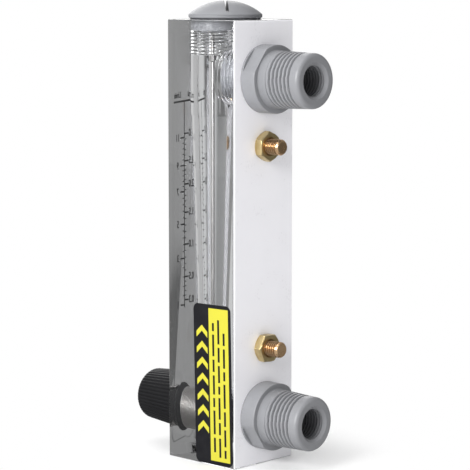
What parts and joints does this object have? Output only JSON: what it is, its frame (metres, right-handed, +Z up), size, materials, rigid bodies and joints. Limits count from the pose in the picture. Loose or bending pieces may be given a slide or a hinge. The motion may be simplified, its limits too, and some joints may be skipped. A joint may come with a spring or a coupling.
{
  "type": "panel mount flow meter",
  "caption": "Clear acrylic block rotameter with a tapered bore, guided float, threaded back ports, mounting studs and a front needle valve.",
  "frame": {"origin": "centre of the acrylic block's bottom face", "axes": "+Z up along the block, -Y out of the front with the scale and the valve, +Y out of the back with the ports and studs"},
  "size_m": [0.0321, 0.0851, 0.1719],
  "materials": {
    "clear_acrylic": "polished clear",
    "white_sheet": "gloss white",
    "sticker": "printed yellow and black film",
    "grey_plastic": "moulded satin grey",
    "white_plastic": "moulded white",
    "black_plastic": "moulded satin black",
    "seal_rubber": "black rubber",
    "stud_brass": "turned brass",
    "nut_brass": "turned brass",
    "stainless": "turned stainless steel"
  },
  "bodies": {
    "meter_body": {"acrylic_body": "clear_acrylic", "white_backing": "white_sheet", "side_label": "sticker", "top_plug": "grey_plastic", "top_plug_gasket": "seal_rubber", "upper_fitting": "grey_plastic", "upper_fitting_o_ring": "seal_rubber", "lower_fitting": "grey_plastic", "lower_fitting_o_ring": "seal_rubber", "upper_stud": "stud_brass", "lower_stud": "stud_brass", "upper_nut": "nut_brass", "lower_nut": "nut_brass", "guide_rod": "stainless", "rod_stop": "stainless", "rod_holder": "white_plastic", "valve_bonnet": "stainless", "bonnet_o_ring": "seal_rubber"},
    "float_unit": {"float": "stainless"},
    "stem_seal_unit": {"stem_o_ring": "seal_rubber"},
    "knob_unit": {"valve_stem": "stainless", "knob": "black_plastic", "knob_set_screw": "stainless"}
  },
  "joints": [
    {"name": "float_lift", "type": "slide", "parent": "meter_body", "child": "float_unit", "axis": [0, 0, 1], "range_m": [0, 0.098]},
    {"name": "valve_travel", "type": "slide", "parent": "meter_body", "child": "stem_seal_unit", "axis": [0, -1, 0], "range_m": [0, 0.00375]},
    {"name": "valve_turn", "type": "hinge", "parent": "stem_seal_unit", "child": "knob_unit", "pos_m": [0, -0.017, 0.0184], "axis": [0, -1, 0], "range_deg": [0, 1350]}
  ],
  "couplings": [
    {"joint": "valve_turn", "follows": "valve_travel", "rad_per_m": 6283.2}
  ]
}
